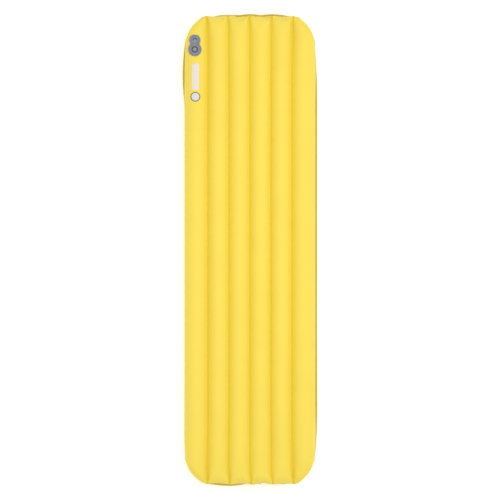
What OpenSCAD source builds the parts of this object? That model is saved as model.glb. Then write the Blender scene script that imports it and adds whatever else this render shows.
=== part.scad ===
// Inflatable sleeping pad: two fabric sheets welded round the edge, held apart
// by five lengthwise I-beam baffles, with a twin valve at the head end.
// +Y points to the head end, +X is to the right seen from above, +Z is up.
// The origin is on the floor under the middle of the pad.

/* [Pad] */
// Overall length, weld edge to weld edge
pad_len = 1829; // [1400:1:2100]
// Distance between neighbouring baffles
tube_pitch = 80.8; // [67:0.1:86]
// Width of each side tube, from its baffle to the edge weld
side_tube_w = 90; // [80:0.5:105]
// Height of the baffles
beam_h = 40; // [24:1:46]
// Width of the weld band along each baffle
weld_w = 8; // [6:0.5:10]
// Corner radius of the air space, seen from above
corner_r = 95; // [75:1:120]
// Width of the flat welded edge round the pad
edge_w = 7; // [4:0.5:12]
// Thickness of each sheet
sheet_t = 0.6; // [0.5:0.05:1]
// How far the side tubes flatten where they rest on the floor
floor_sag = 0.7; // [0.4:0.1:1.5]
// Gap between the end of a baffle and the end weld
beam_end_gap = 16; // [12:1:60]
// Thickness of a baffle's web and of its weld strips
beam_t = 0.5; // [0.4:0.05:1]

/* [Valve] */
// Distance of the valve's middle from the head end of the pad
valve_from_head = 126; // [110:1:200]
// Distance of the valve's middle from the side tube's crown, outwards
valve_off_crown = 6; // [4:0.5:8]
// How far the flat that the valve sits on lies below the side tube's crown
valve_sink = 3.5; // [2:0.5:6]
// Radius of the base plate's large lobe
plate_large_r = 26; // [24:0.5:30]
// Radius of the base plate's small lobe
plate_small_r = 22; // [20:0.5:26]
// Radius of the concave sides at the base plate's waist
waist_r = 14; // [10:1:20]
// Thickness of the base plate
plate_t = 1.6; // [1.2:0.1:2.4]
// Bore that a pump nozzle pushes into at the deflation port
deflate_bore_r = 12; // [10:0.1:12.5]
// Bore that a pump nozzle pushes into at the inflation port
inflate_bore_r = 7; // [6:0.1:7.5]
// Height of both port seats above the fabric
seat_h = 4; // [3:0.1:6]
// Press travel of the one-way valve
press_travel = 3; // [2:0.1:3.5]

/* [Print] */
// Length of the printed panel
panel_len = 103; // [60:1:160]
// Width of the printed panel
panel_w = 32; // [15:0.5:40]
// Distance of the printed panel's middle from the head end
panel_from_head = 247; // [230:1:300]
// Diameter of the round badge
badge_d = 37; // [24:1:44]
// Distance of the badge's middle from the head end
badge_from_head = 325; // [320:1:500]
// Distance of both from the side tube's crown, outwards
print_off_crown = 4; // [0:0.5:6]

/* [Hidden] */
inner_tubes = 4;
$fn = 96;
big = 3000;       // longer than the pad, for cutting
cut = 1;          // overshoot of a cutting tool
snug = 0.05;      // gap round a part that is pressed into another
bond_gap = 0.05;  // glue line under the print and the badge
seal_gap = 0.02;  // gap at a closed sealing face

// --- pad geometry ---
// Radius of an arc that reaches height h where it stands w away from its centre
function arc_r(w, h) = sqrt(w * w + h * h);
weld_half = weld_w / 2;
beam_half = beam_h / 2;
inner_r = arc_r(tube_pitch / 2 - weld_half, beam_half);
side_chord = side_tube_w - weld_half;
side_r = (side_chord * side_chord + beam_half * beam_half) / (2 * side_chord);
end_r = side_r + 1;                      // the ends and corners bulge this far past the sides
body_w = inner_tubes * tube_pitch + 2 * side_tube_w;
body_len = pad_len - 2 * edge_w;
mid_z = side_r - floor_sag;              // height of the edge weld
side_x = body_w / 2 - side_r;            // crown of a side tube
corner_x = body_w / 2 - corner_r;        // centre of a corner
corner_y = body_len / 2 - corner_r;
crown_z = mid_z + side_r;
beam_x = [for (i = [0:inner_tubes]) (i - inner_tubes / 2) * tube_pitch];
beam_len = body_len - 2 * beam_end_gap;

// --- valve geometry, with heights measured from the fabric under the plate ---
valve_x = -(side_x + valve_off_crown);
valve_y = pad_len / 2 - valve_from_head;
valve_z = crown_z - valve_sink;
seat_margin = 3;                         // flat fabric showing past the plate's ends
saddle_h = 14;                           // deeper than the plate overhangs the tube's flanks
large_y = -17;                           // centre of the deflation port
small_y = 19.5;                          // centre of the inflation port
wall = 2;
plug_gap = 0.4;                          // radial gap between a plug and its seat
plug_taper = 0.55;
plug_step = 0.6;                         // a plug bore is this much wider than the nozzle bore
deflate_plug_bore_r = deflate_bore_r + plug_step;
inflate_plug_bore_r = inflate_bore_r + plug_step;
deflate_plug_h = 3.4;
step_gap = 0.3;                          // gap between a plug and the step below it
inflate_plug_h = 2.8;
deflate_seat_r = deflate_plug_bore_r + 1.4;
inflate_seat_r = inflate_plug_bore_r + 2.4;
deflate_barrel_r = deflate_seat_r + wall - 0.5;
inflate_barrel_r = inflate_seat_r + wall - 0.5;
barrel_gap = 0.2;                        // gap between a barrel and the fabric's hole
deflate_depth = 8;                       // the deflation seat reaches this far below the fabric
barrel_depth = 9;
neck_r = inflate_bore_r - 1;
neck_top = -3;
seat_bottom = -16;
deflate_cap_r = deflate_seat_r + 1.5;
inflate_cap_r = inflate_seat_r;
cap_t = 2.3;
cap_z = seat_h + 0.05;
cap_top = cap_z + cap_t;
strap_t = 0.8;
strap_z = seat_h + 0.5;
strap_w = 8;
strap_len = 2.5;
lug_len = 0.5;
pad_y = [large_y + deflate_cap_r + lug_len + strap_len,
         small_y - inflate_cap_r - lug_len - strap_len];
stud_y = (pad_y[0] + pad_y[1]) / 2;
stud_r = 1.5;
hinge_z = strap_z + strap_t / 2;
deflate_hinge_y = pad_y[0] - strap_len / 2;
inflate_hinge_y = pad_y[1] + strap_len / 2;
seal_r = 0.4;                            // half the thickness of a cap's sealing ring
seal_gap_r = 0.3;                        // gap outside a cap's sealing ring
stem_r = 1.5;
stem_gap = 0.08;
button_r = 3.2;
button_top = neck_top - 0.2;
button_h = 2.4;
gasket_t = 0.8;
poppet_r = neck_r + 2.4;
poppet_t = 1.2;
spring_wire_r = 0.25;
spring_r = 2.3;
spring_turns = 5;
spring_closed = 2 * spring_wire_r * (spring_turns + 1);
hub_r = 2.6;
hub_h = 2;
hub_top = button_top - button_h - press_travel - spring_closed - 0.4;

fabric_yellow = [1, 0.82, 0.12];
valve_grey = [0.42, 0.43, 0.47];
insert_grey = [0.3, 0.31, 0.34];

// ---------------------------------------------------------------- pad

// Cross-section of the tubes, in X and Z about the middle plane. Each circle is
// turned so that it starts away from that plane, where the two sheets are parted.
module tube_section(inset) {
    band = weld_w + 2 * inset;           // reaches just into the arcs on both sides
    for (i = [1:inner_tubes])
        translate([(beam_x[i - 1] + beam_x[i]) / 2, 0]) rotate(90) circle(r = inner_r - inset);
    for (s = [-1, 1])
        translate([s * side_x, 0]) rotate(90 + 50 * s) circle(r = side_r - inset);
    for (x = beam_x)
        translate([x - band / 2, -(beam_half - inset)]) square([band, beam_h - 2 * inset]);
}

// The same at the ends, open outside the side tubes, where the rolled end shapes it
module end_section(inset) {
    h = side_r - 0.5 - inset;
    tube_section(inset);
    for (s = [-1, 1])
        translate([s == 1 ? side_x : -side_x - 2 * side_r, -h]) square([2 * side_r, 2 * h]);
}

// A section in X and Z, drawn out along Y from y0 to y1
module along_y(y0, y1) {
    translate([0, y1, 0]) rotate([90, 0, 0]) linear_extrude(y1 - y0) children();
}

// Plate with a half-round edge round the head end and its two corners
module rolled_end(inset) {
    r = end_r - inset;
    flat_len = corner_r - side_r;
    end_y = body_len / 2 - side_r;
    translate([-corner_x, corner_y, -r]) cube([2 * corner_x, end_y - corner_y, 2 * r]);
    translate([-corner_x, end_y, 0]) rotate([0, 90, 0]) cylinder(r = r, h = 2 * corner_x);
    for (s = [0, 1]) mirror([s, 0, 0])
        translate([corner_x, corner_y, 0]) rotate_extrude(angle = 90) {
            translate([0, -r]) square([flat_len, 2 * r]);
            translate([flat_len, 0]) difference() {
                rotate(180) circle(r = r);
                translate([-2 * r, -r - cut]) square([2 * r, 2 * r + 2 * cut]);
            }
        }
}

// Figure-of-eight outline of the valve's base plate, offset outwards by grow
module valve_outline(grow) {
    bite = 0.3;                          // the waist's arcs cross the lobes' edges by this
    ra = plate_large_r + waist_r - bite;
    rb = plate_small_r + waist_r - bite;
    d = small_y - large_y;
    along = (d * d + ra * ra - rb * rb) / (2 * d);
    out = sqrt(ra * ra - along * along);
    difference() {
        union() {
            translate([0, large_y]) circle(r = plate_large_r + grow);
            translate([0, small_y]) circle(r = plate_small_r + grow);
            polygon([[0, large_y], [out, large_y + along], [0, small_y], [-out, large_y + along]]);
        }
        for (s = [-1, 1])
            translate([s * out, large_y + along]) circle(r = waist_r - grow);
    }
}

module at_valve() {
    translate([valve_x, valve_y, valve_z]) children();
}

// The whole air space, inset from the outer skin, about the middle plane, with a
// flat in the side tube's crown for the valve
module pad_body(inset) {
    difference() {
        union() {
            along_y(-corner_y, corner_y) tube_section(inset);
            for (s = [0, 1]) mirror([0, s, 0]) intersection() {
                along_y(corner_y, body_len / 2 + side_r) end_section(inset);
                rolled_end(inset);
            }
        }
        translate([valve_x, valve_y, valve_z - mid_z - inset]) linear_extrude(2 * side_r)
            valve_outline(seat_margin + inset);
        translate([-big / 2, -big / 2, -mid_z - big + inset]) cube(big);
    }
}

// Outline of the pad seen from above, offset outwards by grow
module plan_outline(grow) {
    r = corner_r + grow;
    for (sx = [-1, 1], sy = [-1, 1])
        translate([sx * corner_x, sy * corner_y]) circle(r = r);
    square([2 * corner_x, body_len + 2 * grow], center = true);
    square([body_w + 2 * grow, 2 * corner_y], center = true);
}

// One sheet with its half of the edge weld; side is 1 for the top and 0 for the bottom
module sheet_shell(side) {
    translate([0, 0, mid_z]) {
        intersection() {
            difference() {
                pad_body(0);
                pad_body(sheet_t);
            }
            translate([-big / 2, -big / 2, side == 1 ? 0 : -big]) cube(big);
        }
        translate([0, 0, side == 1 ? 0 : -sheet_t]) linear_extrude(sheet_t) difference() {
            plan_outline(edge_w);
            plan_outline(-sheet_t / 2);
        }
    }
}

module top_sheet() {
    holes = [[large_y, deflate_barrel_r], [small_y, inflate_barrel_r]];
    color(fabric_yellow) difference() {
        sheet_shell(1);
        at_valve() for (hole = holes) translate([0, hole[0], -wall - cut])
            cylinder(r = hole[1] + barrel_gap, h = 2 * wall + 2 * cut);
    }
}

module bottom_sheet() {
    color(fabric_yellow) sheet_shell(0);
}

// Web with a weld strip along its top and its bottom
module i_beam(x) {
    h = beam_half - sheet_t;
    color("khaki") translate([x, 0, mid_z]) along_y(-beam_len / 2, beam_len / 2) {
        square([beam_t, 2 * h], center = true);
        for (s = [-1, 1])
            translate([0, s * (h - beam_t / 2)]) square([weld_w, beam_t], center = true);
    }
}

// ---------------------------------------------------------------- valve

module ring(r_out, r_in, z0, z1) {
    translate([0, 0, z0]) difference() {
        cylinder(r = r_out, h = z1 - z0);
        translate([0, 0, -cut]) cylinder(r = r_in, h = z1 - z0 + 2 * cut);
    }
}

// Moulded wedge that fills the gap between the plate and the outer flank of the side
// tube, where the plate overhangs it
module valve_saddle() {
    color(valve_grey) intersection() {
        difference() {
            at_valve() translate([0, 0, -saddle_h]) linear_extrude(saddle_h - bond_gap)
                difference() {
                    valve_outline(0);
                    translate([0, large_y]) circle(r = deflate_barrel_r + barrel_gap);
                    translate([0, small_y]) circle(r = inflate_barrel_r + barrel_gap);
                }
            translate([-side_x, 0, mid_z]) {
                along_y(0, corner_y) circle(r = side_r + bond_gap);
                along_y(corner_y - cut, body_len / 2) circle(r = end_r + bond_gap);
            }
        }
        translate([-side_x - big, 0, 0]) cube(big);
    }
}

// Plate with two seat barrels and the island that carries the tether
module valve_base() {
    lip_r = deflate_seat_r - 1;
    color(valve_grey) at_valve() difference() {
        union() {
            linear_extrude(plate_t) valve_outline(0);
            translate([0, large_y, -barrel_depth])
                cylinder(r = deflate_barrel_r, h = barrel_depth + seat_h);
            translate([0, small_y, -barrel_depth])
                cylinder(r = inflate_barrel_r, h = barrel_depth + seat_h);
            translate([-6, pad_y[0] + 0.2, 0]) cube([12, pad_y[1] - pad_y[0] - 0.4, strap_z]);
        }
        translate([0, large_y, -deflate_depth]) cylinder(r = deflate_seat_r + snug, h = big);
        translate([0, large_y, -barrel_depth - cut]) cylinder(r = lip_r, h = barrel_depth);
        translate([0, small_y, -barrel_depth - cut]) cylinder(r = inflate_seat_r + snug, h = big);
        translate([0, stud_y, plate_t]) cylinder(r = stud_r + snug, h = big);
    }
}

// Weld ring inside the pad, clamping the flat of the fabric to the plate
module valve_backing() {
    color(valve_grey) intersection() {
        at_valve() translate([0, 0, -sheet_t - 0.8]) linear_extrude(0.8) difference() {
            valve_outline(-3);
            translate([0, large_y]) circle(r = deflate_barrel_r + barrel_gap);
            translate([0, small_y]) circle(r = inflate_barrel_r + barrel_gap);
        }
        translate([-side_x, 0, mid_z]) along_y(0, body_len / 2)
            circle(r = side_r - sheet_t - 0.3);
    }
}

// Hard ring that the deflation cap plugs into
module deflation_seat() {
    step_z = seat_h - deflate_plug_h - step_gap;
    color(insert_grey) at_valve() translate([0, large_y, 0]) {
        ring(deflate_seat_r, deflate_bore_r, -deflate_depth, step_z);
        ring(deflate_seat_r, deflate_plug_bore_r, step_z, seat_h);
    }
}

// Hard insert with the plug bore, the nozzle bore, the neck and a three-armed spider
module inflation_seat() {
    step_z = seat_h - inflate_plug_h - step_gap;
    arm_w = 1.6;
    color(insert_grey) at_valve() translate([0, small_y, 0]) {
        ring(inflate_seat_r, inflate_plug_bore_r, step_z, seat_h);
        ring(inflate_seat_r, inflate_bore_r, neck_top, step_z);
        ring(inflate_seat_r, neck_r, seat_bottom, neck_top);
        difference() {
            union() {
                translate([0, 0, hub_top - hub_h]) cylinder(r = hub_r, h = hub_h);
                for (a = [30:120:270]) rotate([0, 0, a])
                    translate([0, -arm_w / 2, hub_top - hub_h]) cube([neck_r + 0.5, arm_w, hub_h]);
            }
            translate([0, 0, seat_bottom]) cylinder(r = stem_r + stem_gap, h = -seat_bottom);
        }
    }
}

// Disc with a grooved top, a hollow tapered plug, a finger tab and a hinge lug.
// It is drawn at its port's centre, with its hinge towards +Y.
module cap(r, bore_r, plug_h, groove, tab_len) {
    plug_r = bore_r - plug_gap;
    plug_bottom = seat_h - plug_h;
    seal_z = (plug_bottom + cap_z) / 2;
    tab_w = 0.9 * r;
    difference() {
        union() {
            translate([0, 0, cap_z]) cylinder(r = r, h = cap_t);
            translate([0, 0, plug_bottom])
                cylinder(r1 = plug_r - plug_taper, r2 = plug_r, h = cap_z - plug_bottom);
            translate([-strap_w / 2, 0, strap_z]) cube([strap_w, r + lug_len, strap_t]);
            translate([-tab_w / 2, -r - tab_len, strap_z]) cube([tab_w, r, 1.2]);
        }
        ring(groove[1], groove[0], cap_top - 0.9, cap_top + cut);
        translate([0, 0, plug_bottom - cut])
            cylinder(r = plug_r - 2.2, h = plug_h - 0.6 + cut);
        translate([0, 0, seal_z]) rotate_extrude()
            translate([bore_r - seal_gap_r - seal_r, 0]) circle(r = seal_r + snug, $fn = 24);
    }
}

module cap_seal(bore_r, plug_h) {
    translate([0, 0, (seat_h - plug_h + cap_z) / 2]) rotate_extrude()
        translate([bore_r - seal_gap_r - seal_r, 0]) circle(r = seal_r, $fn = 24);
}

module at_deflation() {
    at_valve() translate([0, large_y, 0]) children();
}

module at_inflation() {
    at_valve() translate([0, small_y, 0]) rotate([0, 0, 180]) children();
}

module deflation_cap() {
    color(valve_grey) at_deflation()
        cap(deflate_cap_r, deflate_plug_bore_r, deflate_plug_h, [7.5, 13], 4);
}

module deflation_cap_seal() {
    color("black") at_deflation() cap_seal(deflate_plug_bore_r, deflate_plug_h);
}

module inflation_cap() {
    color(valve_grey) at_inflation()
        cap(inflate_cap_r, inflate_plug_bore_r, inflate_plug_h, [4, 7.5], 3);
}

module inflation_cap_seal() {
    color("black") at_inflation() cap_seal(inflate_plug_bore_r, inflate_plug_h);
}

// Film hinge between the tether pad and a cap's lug, from y0 to y0 + strap_len
module strap(y0) {
    color(valve_grey) at_valve() translate([-strap_w / 2, y0, strap_z])
        cube([strap_w, strap_len, strap_t]);
}

module tether_pad() {
    color(valve_grey) at_valve() difference() {
        translate([-5, pad_y[0], strap_z]) cube([10, pad_y[1] - pad_y[0], strap_t]);
        translate([0, stud_y, 0]) cylinder(r = stud_r + snug, h = big);
    }
}

module tether_stud() {
    color(insert_grey) at_valve() translate([0, stud_y, 0]) {
        translate([0, 0, plate_t]) cylinder(r = stud_r, h = strap_z + strap_t - plate_t);
        translate([0, 0, strap_z + strap_t]) cylinder(r = 2.4, h = 0.9);
    }
}

module check_poppet() {
    disc_top = seat_bottom - gasket_t - seal_gap;
    color("white") at_inflation() {
        translate([0, 0, disc_top - poppet_t]) cylinder(r = poppet_r, h = poppet_t);
        translate([0, 0, disc_top]) cylinder(r = stem_r, h = button_top - 0.7 - disc_top);
    }
}

module poppet_gasket() {
    top = seat_bottom - seal_gap;
    color("black") at_inflation() ring(poppet_r, stem_r + snug, top - gasket_t, top);
}

// Button pressed on the stem's end
module release_button() {
    color("dimgray") at_inflation() difference() {
        translate([0, 0, button_top - button_h]) cylinder(r = button_r, h = button_h);
        translate([0, 0, button_top - button_h - cut])
            cylinder(r = stem_r + snug, h = button_h - 0.7 + cut + snug);
    }
}

// Coil spring round the stem, from the spider's hub to the button
module poppet_spring() {
    sides = 8;
    steps = 16 * spring_turns;
    z0 = hub_top + spring_wire_r;
    rise = button_top - button_h - hub_top - 2 * spring_wire_r;
    rings = [for (i = [0:steps], j = [0:sides - 1])
        let (a = 360 * spring_turns * i / steps, b = 360 * j / sides,
             r = spring_r + spring_wire_r * cos(b))
        [r * cos(a), r * sin(a), z0 + rise * i / steps + spring_wire_r * sin(b)]];
    skin = [for (i = [0:steps - 1], j = [0:sides - 1])
        let (k = (j + 1) % sides)
        [i * sides + j, (i + 1) * sides + j, (i + 1) * sides + k, i * sides + k]];
    ends = [[for (j = [0:sides - 1]) j],
            [for (j = [sides - 1:-1:0]) steps * sides + j]];
    color("silver") at_inflation() polyhedron(points = rings, faces = concat(skin, ends));
}

// ---------------------------------------------------------------- print and badge

// A layer on the left side tube, thick above the glue line, cut to its children's outline
module on_side_tube(from_head, thick) {
    r = side_r + bond_gap;
    translate([-side_x, pad_len / 2 - from_head, mid_z]) intersection() {
        along_y(-panel_len, panel_len) difference() {
            circle(r = r + thick);
            circle(r = r);
        }
        linear_extrude(2 * side_r) translate([-print_off_crown, 0]) children();
    }
}

module print_panel() {
    color("cornsilk") on_side_tube(panel_from_head, 0.3)
        square([panel_w, panel_len], center = true);
}

module badge_rim() {
    color("dimgray") on_side_tube(badge_from_head, 1.4) difference() {
        circle(r = badge_d / 2);
        circle(r = badge_d / 2 - 3);
    }
}

module badge_face() {
    color("white") on_side_tube(badge_from_head, 0.9)
        circle(r = badge_d / 2 - 3 - snug);
}

top_sheet();
bottom_sheet();
for (i = [0:inner_tubes])
    i_beam(beam_x[i]);
valve_base();
valve_saddle();
valve_backing();
deflation_seat();
inflation_seat();
deflation_cap();
deflation_cap_seal();
strap(pad_y[0] - strap_len);  // deflation_strap
inflation_cap();
inflation_cap_seal();
strap(pad_y[1]);  // inflation_strap
tether_pad();
tether_stud();
check_poppet();
poppet_gasket();
poppet_spring();
release_button();
print_panel();
badge_rim();
badge_face();
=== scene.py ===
"""Inflatable sleeping pad on a pale floor. The fabric is cut flat, joined at the edge
and at the baffles, and then inflated by relaxing a net of springs under air pressure."""
import math

import bmesh
import bpy
import numpy as np
from mathutils import Matrix, Vector
from mathutils.bvhtree import BVHTree
from mathutils.geometry import delaunay_2d_cdt


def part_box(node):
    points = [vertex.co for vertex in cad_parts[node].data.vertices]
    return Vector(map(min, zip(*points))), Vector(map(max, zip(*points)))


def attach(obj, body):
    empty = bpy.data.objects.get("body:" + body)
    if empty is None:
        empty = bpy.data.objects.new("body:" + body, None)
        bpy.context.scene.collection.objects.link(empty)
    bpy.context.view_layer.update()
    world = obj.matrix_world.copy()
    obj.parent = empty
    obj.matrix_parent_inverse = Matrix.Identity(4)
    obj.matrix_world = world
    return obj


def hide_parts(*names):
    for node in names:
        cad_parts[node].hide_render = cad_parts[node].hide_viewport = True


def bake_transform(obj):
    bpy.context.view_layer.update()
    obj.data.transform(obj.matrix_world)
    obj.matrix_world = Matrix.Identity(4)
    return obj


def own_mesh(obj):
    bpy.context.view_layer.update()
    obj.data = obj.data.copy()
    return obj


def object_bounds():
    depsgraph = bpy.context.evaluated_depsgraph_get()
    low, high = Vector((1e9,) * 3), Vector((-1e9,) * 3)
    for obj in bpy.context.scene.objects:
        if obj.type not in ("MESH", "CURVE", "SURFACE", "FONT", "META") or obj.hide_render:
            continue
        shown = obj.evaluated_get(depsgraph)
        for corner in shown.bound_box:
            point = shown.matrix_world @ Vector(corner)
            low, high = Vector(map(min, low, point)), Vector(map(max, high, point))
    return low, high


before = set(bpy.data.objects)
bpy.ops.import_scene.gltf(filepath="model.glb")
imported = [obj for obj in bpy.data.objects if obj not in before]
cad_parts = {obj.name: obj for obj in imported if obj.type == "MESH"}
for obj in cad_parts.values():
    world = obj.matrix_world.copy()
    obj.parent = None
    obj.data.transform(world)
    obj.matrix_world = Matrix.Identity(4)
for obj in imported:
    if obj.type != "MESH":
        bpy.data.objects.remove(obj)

CAD_BOX = [list(c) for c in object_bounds()]
BEAMS = ["i_beam_%d" % i for i in range(1, 6)]

# Sizes that the CAD part holds, in metres
SHEET = 0.0006            # thickness of the CAD's sheets
EDGE_W = 0.007            # welded edge outside the air space
BARREL_WALL = 0.0015      # wall of the valve's barrels round their seats
BARREL_GAP = 0.0002
PLATE_T = 0.0016
WIRE_R = 0.00025          # the poppet spring's wire
RIB_PITCH = 0.0010        # spacing of the grip ribs on the caps' tabs


def box_of(node):
    low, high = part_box(node)
    return np.array(low), np.array(high)


def middle(node):
    low, high = box_of(node)
    return (low + high) / 2


beam_low, beam_high = box_of(BEAMS[2])
BEAM_X = [middle(b)[0] for b in BEAMS]
PITCH = BEAM_X[1] - BEAM_X[0]
WELD_W = beam_high[0] - beam_low[0]
HALF_H = (beam_high[2] - beam_low[2]) / 2 + SHEET
MID_Z = (beam_high[2] + beam_low[2]) / 2
BODY_HALF = CAD_BOX[1][0] - EDGE_W
CHORD = BODY_HALF - BEAM_X[-1] - WELD_W / 2
INNER_R = math.hypot(PITCH / 2 - WELD_W / 2, HALF_H)
INNER_HALF = math.acos(HALF_H / INNER_R)
INNER_ARC = 2 * INNER_R * INNER_HALF
SIDE_R = (CHORD ** 2 + HALF_H ** 2) / (2 * CHORD)
SIDE_START = math.pi - math.atan2(HALF_H, CHORD - SIDE_R)
SIDE_X = BODY_HALF - SIDE_R

# The flat pattern, in metres
STEP_U = INNER_ARC + WELD_W                      # baffle spacing in the flat sheet
FLAT_U = 2 * STEP_U + WELD_W / 2 + SIDE_R * SIDE_START
FLAT_V = CAD_BOX[1][1] + 0.0065                  # half length; the ends draw in when inflated
CORNER = 0.108                                   # corner radius of the flat sheet
FLANGE = 0.0065                                  # width of the welded edge
FLANGE_LEAN = 140                                # degrees that it is folded under along the left side
END_ROLL = 0.042                                 # radius of the rounded ends before inflation
VALVE_WAIST = 0.0172                             # half width of the valve's plate at its waist
BEAM_STOP = 0.020                                # end of a baffle's weld, from the edge weld
FINE = 0.006                                     # mesh size near the ends
COARSE = 0.030                                   # row spacing in the middle
FINE_LEN = 0.190
TAKE_UP = 0.115                                  # share of the edge weld's length lost in fine puckers
CORNER_TAKE_UP = 0.33                            # the same round the corners
TAKE_UP_REACH = 0.030                            # how far in from the edge weld they run
FOOT_DRIFT = 0.008                               # the baffles lean this far to the right at the foot end
FOOT_DRIFT_LEN = 0.075

# The relaxation, without units except where given
STEPS = 950
STRAIN = 0.004                                   # stretch of the fabric round a tube
SLACK_PUSH = 0.35                                # share of its stiffness with which slack cloth pushes back
BEND = 0.02                                      # stiffness across the mesh's edges, against folding
EDGE_BEND = 0.1
BAFFLE_PULL = 0.06
DRAG = 0.02
TOP_SPEED = 0.0015                               # metres a step
SEED = 3

# Cloth and print
SEAM_LIFT = 0.0005        # each sheet's welded edge, from the seam's middle to its outside
THREAD = 0.0009           # two threads of the weave
RIPSTOP = 0.0055          # spacing of the reinforcing threads
CREASE_LEN = 0.075        # length of the creases at the end welds
INK = (0.80, 0.73, 0.66)
INK_GROUND = (0.88, 0.72, 0.24)
# colour of the painted shade in the caps' grooves
RING_SHADE_COLOUR = (0.055, 0.06, 0.075)

# Studio
SKY = 0.70
LAMPS = [("overhead_softbox", 50, (3.0, 4.0), (0.45, 0.2, 3.0))]
FLOOR_HALF = 6.0
SENSOR = 36               # width of the camera's sensor, in mm
EYE = 9.0                 # height of the camera
VIEW_W = 1.9335           # width that the camera sees at mid-height of the pad


# ------------------------------------------------------------------ flat pattern

def tube_section(u):
    """X and height above the middle plane, at mid-length, of pattern points at u."""
    a = np.abs(u)
    x, z = np.zeros_like(a), np.zeros_like(a)
    for i in range(3):
        land = np.abs(a - i * STEP_U) <= WELD_W / 2
        x[land] = (a - i * STEP_U)[land] + i * PITCH
        z[land] = HALF_H
        if i < 2:
            t = (a - i * STEP_U - WELD_W / 2) / INNER_ARC
            arc = (t > 0) & (t < 1)
            turn = (t[arc] - 0.5) * 2 * INNER_HALF
            x[arc] = (i + 0.5) * PITCH + INNER_R * np.sin(turn)
            z[arc] = INNER_R * np.cos(turn)
    s = a - 2 * STEP_U - WELD_W / 2
    side = s > 0
    turn = SIDE_START - s[side] / SIDE_R
    x[side] = SIDE_X + SIDE_R * np.cos(turn)
    z[side] = SIDE_R * np.sin(turn)
    return np.sign(u) * x, z


def crown_u():
    return 2 * STEP_U + WELD_W / 2 + SIDE_R * (SIDE_START - math.pi / 2)


def pattern_rows():
    v, h = [FLAT_V], FINE
    while v[-1] > 0.6 * h:
        if FLAT_V - v[-1] > FINE_LEN:
            h = min(h * 1.18, COARSE)
        v.append(v[-1] - h)
    v = np.array([r for r in v if r > 0.4 * h] + [0.0])
    return np.concatenate([-v, v[::-1][1:]])


def inside_by(p):
    """How far inside the pattern's rounded outline each point lies."""
    q = np.abs(p) - np.array([FLAT_U - CORNER, FLAT_V - CORNER])
    out = np.hypot(np.maximum(q[:, 0], 0), np.maximum(q[:, 1], 0))
    return CORNER - out - np.minimum(np.maximum(q[:, 0], q[:, 1]), 0)


def outline_points(rows):
    quarter = [(FLAT_U, v) for v in rows if 0 <= v < FLAT_V - CORNER - FINE / 2]
    n = int(round(CORNER * math.pi / 2 / FINE))
    for k in range(n + 1):
        a = math.pi / 2 * k / n
        quarter.append((FLAT_U - CORNER + CORNER * math.cos(a), FLAT_V - CORNER + CORNER * math.sin(a)))
    w = FLAT_U - CORNER
    n = int(round(w / FINE))
    quarter += [(w * (1 - k / n), FLAT_V) for k in range(1, n)]
    pts = quarter + [(0.0, FLAT_V)] + [(-x, y) for x, y in quarter[::-1]]
    pts += [(-x, -y) for x, y in quarter[1:]] + [(0.0, -FLAT_V)]
    return np.array(pts + [(x, -y) for x, y in quarter[::-1][:-1]])


def panel_points(rows):
    """Points of every row, staggered between the baffle welds."""
    cuts = [-FLAT_U]
    for i in range(-2, 3):
        cuts += [i * STEP_U - WELD_W / 2, i * STEP_U + WELD_W / 2]
    cuts.append(FLAT_U)
    pts = []
    for j, v in enumerate(rows):
        for a, b in zip(cuts[:-1], cuts[1:]):
            if b - a < WELD_W * 1.01:
                pts += [(a, v), (b, v)]
                continue
            n = int(round((b - a) / (FINE * 1.06)))
            shift = 0.5 if j % 2 else 0.0
            pts += [(a + (b - a) * (i + shift) / n, v) for i in range(0 if j % 2 else 1, n)]
    pts = np.array(pts)
    return pts[inside_by(pts) > FINE * 0.62]


def cut_pattern(holes):
    """One sheet's pattern: its points, triangles, which triangles aren't in a hole, and its outline."""
    rows = pattern_rows()
    outline = outline_points(rows)
    pts = panel_points(rows)
    loops = [outline]
    for hx, hy, r in holes:
        pts = pts[np.abs(np.hypot(pts[:, 0] - hx, pts[:, 1] - hy) - r) > FINE * 0.43]
        n = int(round(2 * math.pi * r / (FINE * 0.5)))
        a = np.arange(n) * 2 * math.pi / n
        loops.append(np.stack([hx + r * np.cos(a), hy + r * np.sin(a)], 1))
    edges, base = [], 0
    for loop in loops:
        edges += [(base + i, base + (i + 1) % len(loop)) for i in range(len(loop))]
        base += len(loop)
    given = np.concatenate(loops + [pts])
    made = delaunay_2d_cdt([Vector(p) for p in given], edges, [], 0, 1e-7)
    flat = np.array([tuple(p) for p in made[0]])
    tris = np.array([t for t in made[2] if len(t) == 3])
    back = {old: new for new, olds in enumerate(made[3]) for old in olds}
    a, b = flat[tris[:, 1]] - flat[tris[:, 0]], flat[tris[:, 2]] - flat[tris[:, 0]]
    turned = a[:, 0] * b[:, 1] - a[:, 1] * b[:, 0] < 0
    tris[turned] = tris[turned][:, ::-1]
    centre = flat[tris].mean(axis=1)
    kept = np.ones(len(tris), bool)
    for hx, hy, r in holes:
        kept &= np.hypot(centre[:, 0] - hx, centre[:, 1] - hy) > r * 0.98
    return flat, tris, kept, np.array([back[i] for i in range(len(outline))])


# ------------------------------------------------------------------ inflation

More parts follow.
